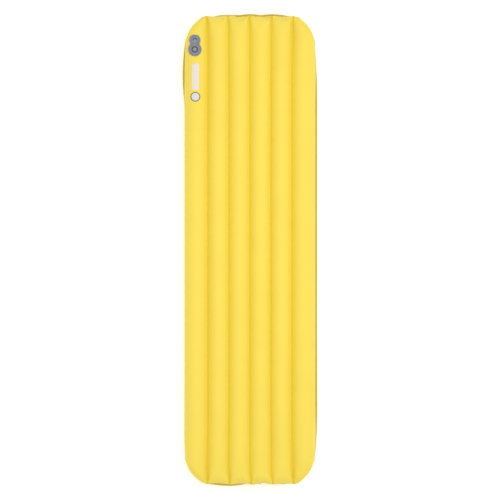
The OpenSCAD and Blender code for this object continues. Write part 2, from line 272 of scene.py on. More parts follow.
def lay_up(holes):
    """Both sheets, sharing the outline's points, with the welded edge round them, near their full shape."""
    flat, tris, kept, loop = cut_pattern(holes)
    n, m = len(flat), len(loop)
    below = np.arange(n) + n
    below[loop] = loop
    own = np.setdiff1d(np.arange(n), loop)
    below[own] = n + np.arange(len(own))
    ring = n + len(own) + np.arange(m)
    along = np.roll(flat[loop], -1, 0) - np.roll(flat[loop], 1, 0)
    out = np.stack([along[:, 1], -along[:, 0]], 1)
    out /= np.linalg.norm(out, axis=1)[:, None]
    all_flat = np.zeros((ring[-1] + 1, 2))
    all_flat[:n], all_flat[below], all_flat[ring] = flat, flat, flat[loop] + out * FLANGE
    s = FLAT_V - np.abs(flat[:, 1])
    turn = np.minimum(s / END_ROLL, math.pi / 2)
    from_end = np.where(s < END_ROLL * math.pi / 2, END_ROLL * (1 - np.cos(turn)),
                        END_ROLL + s - END_ROLL * math.pi / 2)
    y = np.sign(flat[:, 1]) * (FLAT_V - END_ROLL * (math.pi / 2 - 1) - from_end)
    x, z = tube_section(flat[:, 0])
    rise = np.sin(np.minimum(np.maximum(inside_by(flat), 0) / END_ROLL, math.pi / 2))
    z = np.where(s > CORNER * 1.8, z, z * rise)
    z[loop] = 0
    pos = np.zeros((len(all_flat), 3))
    pos[:n] = np.stack([x, y, z], 1)
    pos[below] = np.stack([x, y, -z], 1)
    # the welded edge stands out, but lies folded under along the left side
    hang = np.clip((FLAT_V - CORNER * 1.25 - np.abs(flat[loop, 1])) / 0.05, 0, 1)
    lean = hang * (flat[loop, 0] < -FLAT_U * 0.99) * math.radians(FLANGE_LEAN)
    pos[ring] = pos[loop]
    pos[ring, :2] += out * (FLANGE * np.cos(lean))[:, None]
    pos[ring, 2] -= FLANGE * np.sin(lean)
    nxt = np.roll(np.arange(m), -1)
    edge = np.concatenate([np.stack([loop, ring, ring[nxt]], 1), np.stack([loop, ring[nxt], loop[nxt]], 1)])
    return {"flat": all_flat, "pos": pos, "n": n, "top": tris, "bottom": below[tris][:, ::-1], "edge": edge,
            "kept": kept, "loop": loop, "ring": ring, "below": below}


def rest_length(a, b):
    """Length of a spring from pattern point a to b, less what the edge weld's puckers take up along it."""
    mid, d = (a + b) / 2, b - a
    q = np.abs(mid) - np.array([FLAT_U - CORNER, FLAT_V - CORNER])
    corner = (q > 0).all(axis=1)
    side = np.stack([q[:, 0] > q[:, 1], q[:, 0] <= q[:, 1]], 1) * 1.0
    out = np.where(corner[:, None], np.maximum(q, 0), side)
    out *= np.sign(mid) / np.maximum(np.linalg.norm(out, axis=1), 1e-9)[:, None]
    at_end = np.clip((np.abs(mid[:, 1]) - (FLAT_V - CORNER - 0.05)) / 0.05, 0, 1)
    near = np.exp(-(np.maximum(inside_by(mid), 0) / TAKE_UP_REACH) ** 2)
    lost = np.where(corner, CORNER_TAKE_UP, TAKE_UP) * at_end * near
    across = (d * out).sum(axis=1)
    along = d - across[:, None] * out
    return np.hypot(across, (1 - lost) * np.linalg.norm(along, axis=1))


def spring_net(net):
    """Springs along the mesh's edges and across them, and the baffles' ties: for each its two points, its
    length, its stiffness and the share of that with which it pushes back when it is slack."""
    flat = net["flat"]
    starts, ends, lengths, stiff, push = [], [], [], [], []
    for tris, pull, bend in ((net["top"], 1, BEND), (net["bottom"], 1, BEND), (net["edge"], 2, EDGE_BEND)):
        a = flat[tris]
        e1, e2 = a[:, 1] - a[:, 0], a[:, 2] - a[:, 0]
        area = np.abs(e1[:, 0] * e2[:, 1] - e1[:, 1] * e2[:, 0]) / 2
        pairs = np.sort(np.concatenate([tris[:, [0, 1]], tris[:, [1, 2]], tris[:, [2, 0]]]), axis=1)
        across = np.concatenate([tris[:, 2], tris[:, 0], tris[:, 1]])
        areas = np.concatenate([area] * 3)
        order = np.lexsort((pairs[:, 1], pairs[:, 0]))
        pairs, across, areas = pairs[order], across[order], areas[order]
        first = np.concatenate([[True], (pairs[1:] != pairs[:-1]).any(axis=1)])
        which = np.cumsum(first) - 1
        total = np.bincount(which, areas)
        rim = pairs[first]
        length = rest_length(flat[rim[:, 0]], flat[rim[:, 1]])
        starts.append(rim[:, 0])
        ends.append(rim[:, 1])
        lengths.append(length)
        stiff.append(0.8 * pull * total / length)
        push.append(np.full(len(rim), SLACK_PUSH))
        second = np.where(~first)[0]
        p, q = across[second - 1], across[second]
        length = rest_length(flat[p], flat[q])
        starts.append(p)
        ends.append(q)
        lengths.append(length)
        stiff.append(bend * pull * total[which[second]] / length)
        push.append(np.ones(len(second)))
    top = net["flat"][:net["n"]]
    tied = np.abs(np.abs(top[:, 0] - np.round(top[:, 0] / STEP_U) * STEP_U) - WELD_W / 2) < 1e-5
    tied &= (np.abs(top[:, 0]) < 2.5 * STEP_U) & (np.abs(top[:, 1]) < FLAT_V - BEAM_STOP)
    net["tied"] = np.where(tied)[0]
    starts.append(net["tied"])
    ends.append(net["below"][net["tied"]])
    lengths.append(np.full(tied.sum(), 2 * HALF_H))
    stiff.append(np.full(tied.sum(), BAFFLE_PULL))
    push.append(np.zeros(tied.sum()))
    return [np.concatenate(part) for part in (starts, ends, lengths, stiff, push)]


def inflate(net, held, held_at):
    """Relaxes the net under pressure. Points in held stay at held_at. Heights are from the middle plane."""
    start, end, length, stiff, push = spring_net(net)
    pos = net["pos"]
    count = len(pos)
    free = np.ones(count, bool)
    free[held] = False
    pos[held] = held_at
    rng = np.random.default_rng(SEED)
    pos[free] += rng.normal(0, 0.0003, (free.sum(), 3)) * np.array([0.2, 0.2, 1.0])
    skin = np.concatenate([net["top"], net["bottom"]])
    corners = skin.ravel()
    push_out = STRAIN / INNER_R / 6
    per_metre = stiff / length
    mass = 0.625 * (np.bincount(start, per_metre, count) + np.bincount(end, per_metre, count)) + 1e-3
    speed = np.zeros_like(pos)
    for _ in range(STEPS):
        d = pos[end] - pos[start]
        now = np.sqrt((d * d).sum(1))
        stretch = (now - length) / length
        pull = d * (stiff * np.where(stretch < 0, push * stretch, stretch) / now)[:, None]
        a = pos[skin[:, 0]]
        air = np.cross(pos[skin[:, 1]] - a, pos[skin[:, 2]] - a) * push_out
        force = np.empty_like(pos)
        for c in range(3):
            force[:, c] = (np.bincount(start, pull[:, c], count) - np.bincount(end, pull[:, c], count)
                           + np.bincount(corners, np.repeat(air[:, c], 3), count))
        speed = np.clip(speed * (1 - DRAG) + force / mass[:, None], -TOP_SPEED, TOP_SPEED)
        speed[~free] = 0
        pos += speed
        low = pos[:, 2] < -MID_Z
        pos[low, 2] = -MID_Z
        speed[low, 2] = 0
    return pos


def valve_frame():
    """Middle of the valve in x and the height of the flat it sits on."""
    low, high = box_of("valve_base")
    cx = (low[0] + high[0]) / 2
    flat_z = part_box("tether_stud")[0][2] - PLATE_T
    return cx, flat_z


def on_seat(s):
    """Where fabric s across from the side tube's crown lies on the valve's seat: flat, then on the tube."""
    drop = valve_frame()[1] - MID_Z
    half = math.acos(drop / SIDE_R)
    edge = SIDE_R * math.sin(half)
    over = np.maximum(np.abs(s) - edge, 0) / SIDE_R
    x = np.where(over > 0, SIDE_R * np.sin(half + over), np.abs(s))
    z = np.where(over > 0, SIDE_R * np.cos(half + over), drop)
    return np.sign(s) * x, z


def valve_seat(net):
    """The fabric under the valve's plate lies against its seat: which points, and where."""
    low, high = box_of("valve_base")
    cx = valve_frame()[0]
    large, small = middle("deflation_seat")[1], middle("inflation_seat")[1]
    large_r, small_r = large - low[1], high[1] - small
    p = net["flat"][:net["n"]]
    across, z = on_seat(p[:, 0] + crown_u())
    x, y = across - SIDE_X - cx, p[:, 1]
    on = (np.hypot(x, y - large) < large_r) | (np.hypot(x, y - small) < small_r)
    on |= (np.abs(x) < VALVE_WAIST) & (y > large) & (y < small)
    on &= np.abs(p[:, 0] + crown_u()) < SIDE_R
    ids = np.where(on)[0]
    return ids, np.stack([across[ids] - SIDE_X, y[ids], z[ids] - 0.0001], 1)


def port_holes():
    u0 = valve_frame()[0] + SIDE_X - crown_u()
    holes = []
    for seat in ("deflation_seat", "inflation_seat"):
        a, b = box_of(seat)
        holes.append((u0, (a[1] + b[1]) / 2, (b[0] - a[0]) / 2 + BARREL_WALL + BARREL_GAP))
    return holes


def inflated_pad():
    net = lay_up(port_holes())
    held, held_at = valve_seat(net)
    inflate(net, held, held_at)
    net["pos"][:, 2] += MID_Z
    lean = np.clip((-net["pos"][:, 1] - (CAD_BOX[1][1] - FOOT_DRIFT_LEN)) / FOOT_DRIFT_LEN, 0, 1)
    net["pos"][:, 0] += FOOT_DRIFT * lean ** 2 * np.cos(net["flat"][:, 0] / FLAT_U * math.pi / 2)
    net["inward"] = -point_normals(net["pos"], np.concatenate([net["top"], net["bottom"]]))
    return net


# ------------------------------------------------------------------ mesh helpers

def new_piece(name, points, faces, body, uv=None, smooth=True):
    """A mesh piece at the origin. uv holds one pair for each point."""
    mesh = bpy.data.meshes.new(name)
    mesh.from_pydata([tuple(p) for p in points], [], [tuple(int(i) for i in f) for f in faces])
    mesh.update()
    mesh.polygons.foreach_set("use_smooth", [smooth] * len(mesh.polygons))
    if uv is not None:
        layer = mesh.uv_layers.new(name="pattern")
        index = np.zeros(len(mesh.loops), int)
        mesh.loops.foreach_get("vertex_index", index)
        layer.data.foreach_set("uv", np.asarray(uv, np.float32)[index].ravel())
    piece = bpy.data.objects.new(name, mesh)
    bpy.context.scene.collection.objects.link(piece)
    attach(piece, body)
    return piece


def point_normals(points, tris):
    """Unit normal at each point, weighted by the faces' areas."""
    a = points[tris[:, 0]]
    face = np.cross(points[tris[:, 1]] - a, points[tris[:, 2]] - a)
    normal = np.zeros_like(points)
    for k in range(3):
        np.add.at(normal, tris[:, k], face)
    size = np.linalg.norm(normal, axis=1)
    return normal / np.maximum(size, 1e-12)[:, None]


def thicken(points, tris, thick):
    """Closed wall: the given surface outside, and a copy thick further in."""
    n = len(points)
    inner = points - point_normals(points, tris) * thick
    pairs = np.concatenate([tris[:, [0, 1]], tris[:, [1, 2]], tris[:, [2, 0]]])
    seen = {(int(a), int(b)) for a, b in pairs}
    rim = [(a, b) for a, b in seen if (b, a) not in seen]
    rim.sort()
    wall = [(b, a, a + n, b + n) for a, b in rim]
    faces = [tuple(t) for t in tris] + [tuple(t[::-1] + n) for t in tris] + wall
    return np.concatenate([points, inner]), faces


def face_out(mesh, merge=False):
    """Turns a closed mesh's faces outward, after joining points that coincide if merge is set."""
    bm = bmesh.new()
    bm.from_mesh(mesh)
    if merge:
        bmesh.ops.remove_doubles(bm, verts=bm.verts, dist=1e-6)
    bmesh.ops.recalc_face_normals(bm, faces=bm.faces)
    bm.to_mesh(mesh)
    bm.free()


def compact(points, tris, *more):
    """Drops unused points from a mesh and from whatever else holds one row for each point."""
    used = np.unique(tris)
    renumber = np.full(len(points), -1)
    renumber[used] = np.arange(len(used))
    return [points[used], renumber[tris]] + [m[used] for m in more]


# ------------------------------------------------------------------ pad pieces

def sheet_piece(net, name, node, tris, edge, lift, thick=0.0004):
    """One fabric sheet with its layer of the welded edge."""
    pos = net["pos"].copy()
    both = np.concatenate([tris, edge])
    seam = np.concatenate([net["loop"], net["ring"]])
    pos[seam] += point_normals(net["pos"], edge)[seam] * lift
    weld = np.zeros(len(pos))
    weld[seam] = 1
    points, faces, uv, weld = compact(pos, both, net["flat"], weld)
    solid, quads = thicken(points, faces, thick)
    piece = new_piece(name, solid, quads, "pad", uv=np.concatenate([uv, uv]))
    mark = piece.data.attributes.new("edge_weld", "FLOAT", "POINT")
    mark.data.foreach_set("value", np.concatenate([weld, weld]).astype(np.float32))
    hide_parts(node)
    return piece


def baffle_piece(net, i):
    """I-shaped baffle swept between the two sheets' welds."""
    flat, pos, inward = net["flat"], net["pos"], net["inward"]
    centre = (i - 3) * STEP_U
    tied = net["tied"]
    tied = tied[np.abs(flat[tied, 1]) < FLAT_V - BEAM_STOP - 0.024]
    rows = {}
    for t in tied[np.abs(flat[tied, 0] - centre) < WELD_W]:
        rows.setdefault(round(float(flat[t, 1]), 6), []).append(t)
    strip, web, gap = 0.0034, 0.00025, 0.0012
    points, uv = [], []
    for v in sorted(rows):
        left, right = sorted(rows[v], key=lambda t: flat[t, 0])
        side = pos[right] - pos[left]
        side[1] = 0
        room = 0.42 * np.linalg.norm(side)
        side /= np.linalg.norm(side)
        reach = min(strip, room)
        low = net["below"][[left, right]]
        top = pos[[left, right]].mean(axis=0) + inward[[left, right]].mean(axis=0) * gap
        bottom = pos[low].mean(axis=0) + inward[low].mean(axis=0) * gap
        up = np.array([0, 0, 2 * web])
        for base, s in ((bottom, 1), (top, -1)):
            outline = [(-reach, 0), (reach, 0), (reach, 1), (web, 1), (-web, 1), (-reach, 1)]
            for across, level in outline:
                points.append(base + side * across + s * up * level)
                uv.append((across + s * 0.02, v))
    count = len(points) // 12
    order = [0, 1, 2, 3, 9, 8, 7, 6, 11, 10, 4, 5]
    faces = []
    for j in range(count - 1):
        a, b = j * 12, (j + 1) * 12
        for k in range(12):
            p, q = order[k], order[(k + 1) % 12]
            faces.append((a + p, a + q, b + q, b + p))
    for a, turn in ((0, 1), ((count - 1) * 12, -1)):
        for cap in ((0, 1, 2, 3, 4, 5), (4, 3, 9, 10), (11, 10, 9, 8, 7, 6)):
            faces.append(tuple(a + k for k in cap[::-1 * turn]))
    piece = new_piece("baffle_%d" % i, points, faces, "pad", uv=uv, smooth=False)
    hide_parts(BEAMS[i - 1])
    return piece


# ------------------------------------------------------------------ print, badge, straps, spring

def fabric_under(net):
    """Function giving the point h above the fabric at x, y."""
    tris = net["top"]
    tree = BVHTree.FromPolygons([tuple(p) for p in net["pos"][:net["n"]]],
                                [tuple(int(i) for i in t) for t in tris])
    normals = point_normals(net["pos"][:net["n"]], tris)

    def at(x, y, h):
        hit, _, face, _ = tree.ray_cast(Vector((x, y, 0.3)), Vector((0, 0, -1)))
        normal = Vector(normals[tris[face]].sum(axis=0)).normalized()
        return np.array(hit + normal * h)
    return at


def print_panel_piece(at):
    """Printed panel: a rounded rectangle of ink that follows the side tube."""
    low, high = box_of("print_panel")
    nx, ny, r = 14, 52, 0.004
    wide, long = (high[0] - low[0]) / 2, (high[1] - low[1]) / 2
    cx, cy = (low[0] + high[0]) / 2, (low[1] + high[1]) / 2
    points, uv, tris = [], [], []
    for j in range(ny + 1):
        y = -long + 2 * long * j / ny
        short = r - min(long - abs(y), r)
        half = wide - (r - math.sqrt(max(r * r - short * short, 0)))
        for i in range(nx + 1):
            x = -half + 2 * half * i / nx
            points.append(at(cx + x, cy + y, 0.0002))
            uv.append((x / wide, y / long))
    for j in range(ny):
        for i in range(nx):
            a = j * (nx + 1) + i
            tris += [(a, a + 1, a + nx + 2), (a, a + nx + 2, a + nx + 1)]
    solid, faces = thicken(np.array(points), np.array(tris), 0.00015)
    piece = new_piece("printed_panel", solid, faces, "pad", uv=uv + uv)
    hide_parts("print_panel")
    return piece


def turned_on_fabric(name, at, cx, cy, profile, rounds=72):
    """Disc or ring moulded onto the fabric. The profile runs round a closed loop of radius and height."""
    points, faces = [], []
    closed = profile[0][0] > 0
    for r, h in profile:
        for k in range(rounds):
            a = 2 * math.pi * k / rounds
            points.append(at(cx + r * math.cos(a), cy + r * math.sin(a), h))
    n = len(profile)
    for j in range(n if closed else n - 1):
        for k in range(rounds):
            a, b = j * rounds + k, j * rounds + (k + 1) % rounds
            c, d = (j + 1) % n * rounds + (k + 1) % rounds, (j + 1) % n * rounds + k
            faces.append((a, b, c, d))
    piece = new_piece(name, points, faces, "pad")
    mesh = piece.data
    face_out(mesh, merge=True)
    mesh.polygons.foreach_set("use_smooth", [True] * len(mesh.polygons))
    return piece


def badge_pieces(at):
    low, high = box_of("badge_rim")
    cx, cy = (low[0] + high[0]) / 2, (low[1] + high[1]) / 2
    r = (high[0] - low[0]) / 2
    band = 0.003
    rim = [(r, 0.0002), (r, 0.0008), (r - 0.0005, 0.0013), (r - band / 2, 0.0015), (r - band + 0.0005, 0.0013),
           (r - band + 0.00005, 0.0010), (r - band + 0.00005, 0.0002)]
    inner = r - band
    face = [(0, 0.0002), (inner, 0.0002), (inner, 0.0007), (inner * 0.93, 0.0009), (inner * 0.72, 0.0009),
            (inner * 0.70, 0.00065), (inner * 0.62, 0.00065), (inner * 0.60, 0.0009), (inner * 0.3, 0.00105),
            (0, 0.0011)]
    ring = turned_on_fabric("badge_ring", at, cx, cy, rim)
    disc = turned_on_fabric("badge_disc", at, cx, cy, face)
    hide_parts("badge_rim")
    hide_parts("badge_face")
    return ring, disc


def strap_piece(name, node, fixed_y, free_y):
    """Film hinge between the tether pad and a cap, thinned along its middle."""
    low, high = box_of(node)
    cx, cz = (low[0] + high[0]) / 2, (low[2] + high[2]) / 2
    half_w, half_t = (high[0] - low[0]) / 2, (high[2] - low[2]) / 2
    rows, cols = 16, 6
    points, faces = [], []
    for j in range(rows + 1):
        t = j / rows
        y = fixed_y + (free_y - fixed_y) * t
        thin = half_t * (1 - 0.45 * math.exp(-((t - 0.5) / 0.22) ** 2))
        wide = half_w * (1 - 0.06 * math.sin(math.pi * t))
        loop = [(-wide + 2 * wide * i / cols, thin) for i in range(cols + 1)]
        loop += [(x, -z) for x, z in loop[::-1]]
        points += [(cx + x, y, cz + z) for x, z in loop]
    n = 2 * (cols + 1)
    for j in range(rows):
        for k in range(n):
            a, b = j * n + k, j * n + (k + 1) % n
            faces.append((a, b, b + n, a + n) if free_y < fixed_y else (a, a + n, b + n, b))
    first, last = list(range(n)), list(range(rows * n, rows * n + n))
    faces.append(first[::-1] if free_y < fixed_y else first)
    faces.append(last if free_y < fixed_y else last[::-1])
    mesh = bpy.data.meshes.new(name)
    mesh.from_pydata(points, [], faces)
    face_out(mesh)
    piece = bpy.data.objects.new(name, mesh)
    bpy.context.scene.collection.objects.link(piece)
    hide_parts(node)
    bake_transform(piece)
    return piece


# ------------------------------------------------------------------ node trees for what repeats

def node_group(name, sizes):
    """Geometry node group with named float inputs. Returns it with its output and input nodes."""
    group = bpy.data.node_groups.new(name, "GeometryNodeTree")
    group.interface.new_socket("Geometry", in_out="OUTPUT", socket_type="NodeSocketGeometry")
    for label in sizes:
        group.interface.new_socket(label, in_out="INPUT", socket_type="NodeSocketFloat")
    return group, group.nodes.new("NodeGroupInput"), group.nodes.new("NodeGroupOutput")


def finish_tree(group, geometry, out, material):
    real = group.nodes.new("GeometryNodeRealizeInstances")
    paint = group.nodes.new("GeometryNodeSetMaterial")
    paint.inputs["Material"].default_value = material
    group.links.new(geometry, real.inputs["Geometry"])
    group.links.new(real.outputs["Geometry"], paint.inputs["Geometry"])
    group.links.new(paint.outputs["Geometry"], out.inputs["Geometry"])


def made_by(group, name, sizes, place, body):
    """Runs a node group with the given sizes and leaves a plain mesh piece, moved by the matrix place."""
    holder = bpy.data.objects.new(name + "_tree", bpy.data.meshes.new(name + "_tree"))
    bpy.context.scene.collection.objects.link(holder)
    modifier = holder.modifiers.new("tree", "NODES")
    modifier.node_group = group
    for item in group.interface.items_tree:
        if item.item_type == "SOCKET" and item.in_out == "INPUT":
            modifier[item.identifier] = float(sizes[item.name])
    graph = bpy.context.evaluated_depsgraph_get()
    mesh = bpy.data.meshes.new_from_object(holder.evaluated_get(graph), preserve_all_data_layers=True,
                                           depsgraph=graph)
    bpy.data.objects.remove(holder)
    mesh.transform(place)
    mesh.name = name
    piece = bpy.data.objects.new(name, mesh)
    bpy.context.scene.collection.objects.link(piece)
    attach(piece, body)
    return piece


def grip_rib_tree(material):
    """A row of small rounded ribs along Y."""
    group, given, out = node_group("grip_ribs", ["Count", "Pitch", "Length", "Radius"])
    n, link = group.nodes, group.links
    row = n.new("GeometryNodeMeshLine")
    step = n.new("ShaderNodeCombineXYZ")
    link.new(given.outputs["Count"], row.inputs["Count"])
    link.new(given.outputs["Pitch"], step.inputs["Y"])
    link.new(step.outputs[0], row.inputs["Offset"])
    rib = n.new("GeometryNodeMeshCylinder")
    rib.inputs["Vertices"].default_value = 12
    link.new(given.outputs["Radius"], rib.inputs["Radius"])
    link.new(given.outputs["Length"], rib.inputs["Depth"])
    lay = n.new("GeometryNodeTransform")
    lay.inputs["Rotation"].default_value = (0, math.pi / 2, 0)
    link.new(rib.outputs["Mesh"], lay.inputs["Geometry"])
    put = n.new("GeometryNodeInstanceOnPoints")
    link.new(row.outputs["Mesh"], put.inputs["Points"])
    link.new(lay.outputs["Geometry"], put.inputs["Instance"])
    finish_tree(group, put.outputs["Instances"], out, material)
    return group


def coil_tree(material):
    """Coil spring about Z, with a round wire."""
    group, given, out = node_group("valve_coil", ["Turns", "Coil radius", "Height", "Wire radius"])
    n, link = group.nodes, group.links
    path = n.new("GeometryNodeCurveSpiral")
    path.inputs["Resolution"].default_value = 24
    link.new(given.outputs["Turns"], path.inputs["Rotations"])
    link.new(given.outputs["Coil radius"], path.inputs["Start Radius"])
    link.new(given.outputs["Coil radius"], path.inputs["End Radius"])
    link.new(given.outputs["Height"], path.inputs["Height"])
    wire = n.new("GeometryNodeCurvePrimitiveCircle")
    wire.inputs["Resolution"].default_value = 10
    link.new(given.outputs["Wire radius"], wire.inputs["Radius"])
    sweep = n.new("GeometryNodeCurveToMesh")
    sweep.inputs["Fill Caps"].default_value = True
    link.new(path.outputs["Curve"], sweep.inputs["Curve"])
    link.new(wire.outputs["Curve"], sweep.inputs["Profile Curve"])
    finish_tree(group, sweep.outputs["Mesh"], out, material)
    return group


# ------------------------------------------------------------------ materials

def shader(name):
    """New material, its nodes, links and main shader."""
    m = bpy.data.materials.new(name)
    m.use_nodes = True
    nodes, links = m.node_tree.nodes, m.node_tree.links
    return m, nodes, links, nodes["Principled BSDF"]


def math_node(nodes, links, op, a, b=None):
    node = nodes.new("ShaderNodeMath")
    node.operation = op
    for socket, value in zip(node.inputs, (a, b)):
        if value is None:
            continue
        if isinstance(value, (int, float)):
            socket.default_value = value
        else:
            links.new(value, socket)
    return node.outputs[0]


def shades(colour, dark, light, lift=0):
    """A darker and a lighter shade of a colour."""
    return tuple(dark * c for c in colour), tuple(min(light * c + lift, 1) for c in colour)


def mix_colour(nodes, links, amount, a, b):
    node = nodes.new("ShaderNodeMix")
    node.data_type = "RGBA"
    for socket, value in ((node.inputs[0], amount), (node.inputs[6], a), (node.inputs[7], b)):
        if isinstance(value, (int, float)):
            socket.default_value = value
        elif isinstance(value, tuple):
            socket.default_value = (*value, 1)
        else:
            links.new(value, socket)
    return node.outputs[2]


def bump(nodes, links, bsdf, heights):
    """Chains bumps of (height socket, distance, strength) into the shader."""
    last = None
    for height, distance, strength in heights:
        node = nodes.new("ShaderNodeBump")
        node.inputs["Distance"].default_value = distance
        node.inputs["Strength"].default_value = strength
        links.new(height, node.inputs["Height"])
        if last:
            links.new(last, node.inputs["Normal"])
        last = node.outputs["Normal"]
    links.new(last, bsdf.inputs["Normal"])


def noise(nodes, links, vector, scale, detail=3):
    node = nodes.new("ShaderNodeTexNoise")
    node.inputs["Scale"].default_value = scale
    node.inputs["Detail"].default_value = detail
    links.new(vector, node.inputs["Vector"])
    return node.outputs["Fac"]


def band(nodes, links, value, period, half, soft):
    """1 within half of each multiple of period, falling to 0 over soft."""
    wrapped = math_node(nodes, links, "PINGPONG", value, period / 2)
    near = math_node(nodes, links, "SUBTRACT", half + soft, wrapped)
    near = math_node(nodes, links, "DIVIDE", near, soft)
    near = math_node(nodes, links, "MINIMUM", near, 1)
    return math_node(nodes, links, "MAXIMUM", near, 0)


def coated_fabric(name, colour, weld_and_valley_shade_colour, edge_weld_shade_colour, rough, sheen):
    """Fine ripstop with a coating: threads, a reinforcing grid, weld bands and the welded edge, the last two
    darker partly in their own colour and partly as painted shade.
    """
    m, nodes, links, bsdf = shader(name)
    uv = nodes.new("ShaderNodeUVMap")
    uv.uv_map = "pattern"
    split = nodes.new("ShaderNodeSeparateXYZ")
    links.new(uv.outputs["UV"], split.inputs[0])
    u, v = split.outputs["X"], split.outputs["Y"]
    thread_u = math_node(nodes, links, "SINE", math_node(nodes, links, "MULTIPLY", u, 2 * math.pi / THREAD))
    thread_v = math_node(nodes, links, "SINE", math_node(nodes, links, "MULTIPLY", v, 2 * math.pi / THREAD))
    weave = math_node(nodes, links, "MULTIPLY", thread_u, thread_v)
    grid = math_node(nodes, links, "MAXIMUM", band(nodes, links, u, RIPSTOP, 0.00018, 0.00015),
                     band(nodes, links, v, RIPSTOP, 0.00018, 0.00015))
    weld = band(nodes, links, u, STEP_U, WELD_W / 2 - 0.0006, 0.0012)
    inside = math_node(nodes, links, "LESS_THAN", math_node(nodes, links, "ABSOLUTE", u), 2.4 * STEP_U)
    reach = math_node(nodes, links, "LESS_THAN", math_node(nodes, links, "ABSOLUTE", v), FLAT_V - 0.003)
    weld = math_node(nodes, links, "MULTIPLY", weld, math_node(nodes, links, "MULTIPLY", inside, reach))
    hatch = math_node(nodes, links, "SINE", math_node(nodes, links, "MULTIPLY", v, 2 * math.pi / 0.0024))
    hatch = math_node(nodes, links, "MULTIPLY", hatch, weld)
    edge = nodes.new("ShaderNodeAttribute")
    edge.attribute_name = "edge_weld"
    edge = edge.outputs["Fac"]
    cloud = noise(nodes, links, uv.outputs["UV"], 9)
    slub = noise(nodes, links, uv.outputs["UV"], 900, 2)
    tone = mix_colour(nodes, links, cloud, *shades(colour, 0.965, 1.03))
    tone = mix_colour(nodes, links, math_node(nodes, links, "MULTIPLY", grid, 0.10), tone, weld_and_valley_shade_colour)
    tone = mix_colour(nodes, links, math_node(nodes, links, "MULTIPLY", slub, 0.06), tone, weld_and_valley_shade_colour)
    # weld bands: their own darker weld colour, and painted shade of the valleys they lie in
    tone = mix_colour(nodes, links, math_node(nodes, links, "MULTIPLY", weld, 0.85), tone, weld_and_valley_shade_colour)
    # welded edge: its own darker weld colour, deepened as painted shade of the seam's shadowed line
    tone = mix_colour(nodes, links, math_node(nodes, links, "MULTIPLY", edge, 0.9), tone, edge_weld_shade_colour)
    links.new(tone, bsdf.inputs["Base Color"])
    gloss = math_node(nodes, links, "MULTIPLY", math_node(nodes, links, "MAXIMUM", weld, edge), -0.12)
    gloss = math_node(nodes, links, "ADD", gloss, rough)
    links.new(math_node(nodes, links, "ADD", gloss, math_node(nodes, links, "MULTIPLY", slub, 0.06)),
              bsdf.inputs["Roughness"])
    # creases that run in from the end welds
    stretch = nodes.new("ShaderNodeMapping")
    stretch.inputs["Scale"].default_value = (95, 14, 1)
    links.new(uv.outputs["UV"], stretch.inputs["Vector"])
    crease = noise(nodes, links, stretch.outputs["Vector"], 1, 2)
    near = math_node(nodes, links, "SUBTRACT", math_node(nodes, links, "ABSOLUTE", v), FLAT_V - CREASE_LEN)
    near = math_node(nodes, links, "DIVIDE", math_node(nodes, links, "MAXIMUM", near, 0), CREASE_LEN)
    crease = math_node(nodes, links, "MULTIPLY", crease, math_node(nodes, links, "POWER", near, 1.5))
    bump(nodes, links, bsdf, [(crease, 0.004, 0.6), (grid, 0.00008, 0.6), (weave, 0.00004, 0.5),
                              (hatch, 0.00012, 0.6), (slub, 0.00004, 0.3)])
    bsdf.inputs["Sheen Weight"].default_value = sheen
    bsdf.inputs["Sheen Roughness"].default_value = 0.4
    bsdf.inputs["Sheen Tint"].default_value = (1, 0.97, 0.8, 1)
    bsdf.inputs["Specular IOR Level"].default_value = 0.3
    return m


def painted_ring_shade(nodes, links, place, ring):
    """1 in the ring of painted shade over a cap's groove (centre x, centre y, inner radius, outer radius,
    lowest y kept).
    """
    cx, cy, inner, outer, from_y = ring
    split = nodes.new("ShaderNodeSeparateXYZ")
    links.new(place, split.inputs[0])
    dx = math_node(nodes, links, "SUBTRACT", split.outputs["X"], cx)
    dy = math_node(nodes, links, "SUBTRACT", split.outputs["Y"], cy)
    dx2 = math_node(nodes, links, "MULTIPLY", dx, dx)
    dy2 = math_node(nodes, links, "MULTIPLY", dy, dy)
    r = math_node(nodes, links, "SQRT", math_node(nodes, links, "ADD", dx2, dy2))
    near = math_node(nodes, links, "ABSOLUTE", math_node(nodes, links, "SUBTRACT", r, (inner + outer) / 2))
    near = math_node(nodes, links, "LESS_THAN", near, (outer - inner) / 2)
    return math_node(nodes, links, "MULTIPLY", near, math_node(nodes, links, "GREATER_THAN", dy, from_y))


def moulded(name, colour, rough, wear=0.25, grain=2600, ring=None):
    """Moulded plastic or rubber: fine grain, flow marks, rubbed edges and, on a cap, a ring of painted shade
    over its groove.
    """
    m, nodes, links, bsdf = shader(name)
    place = nodes.new("ShaderNodeTexCoord").outputs["Object"]
    cloud = noise(nodes, links, place, 70)
    fine = noise(nodes, links, place, grain, 2)
    cells = nodes.new("ShaderNodeTexVoronoi")
    cells.inputs["Scale"].default_value = grain * 0.6
    links.new(place, cells.inputs["Vector"])
    edge = nodes.new("ShaderNodeNewGeometry")
    rubbed = nodes.new("ShaderNodeMapRange")
    rubbed.inputs["From Min"].default_value = 0.52
    rubbed.inputs["From Max"].default_value = 0.62
    links.new(edge.outputs["Pointiness"], rubbed.inputs["Value"])
    rubbed = math_node(nodes, links, "MULTIPLY", rubbed.outputs["Result"], wear)
    tone = mix_colour(nodes, links, cloud, *shades(colour, 0.88, 1.1))
    deep, worn = shades(colour, 0.6, 1.6, 0.03)
    tone = mix_colour(nodes, links, math_node(nodes, links, "MULTIPLY", fine, 0.18), tone, deep)
    tone = mix_colour(nodes, links, rubbed, tone, worn)
    # a cap gets a ring of painted shade where its groove lies
    if ring:
        tone = mix_colour(nodes, links, painted_ring_shade(nodes, links, place, ring), tone, RING_SHADE_COLOUR)
    links.new(tone, bsdf.inputs["Base Color"])
    links.new(math_node(nodes, links, "ADD", math_node(nodes, links, "MULTIPLY", cloud, 0.16), rough - 0.08),
              bsdf.inputs["Roughness"])
    bump(nodes, links, bsdf, [(cells.outputs["Distance"], 0.00006, 0.35), (fine, 0.00004, 0.3)])
    return m


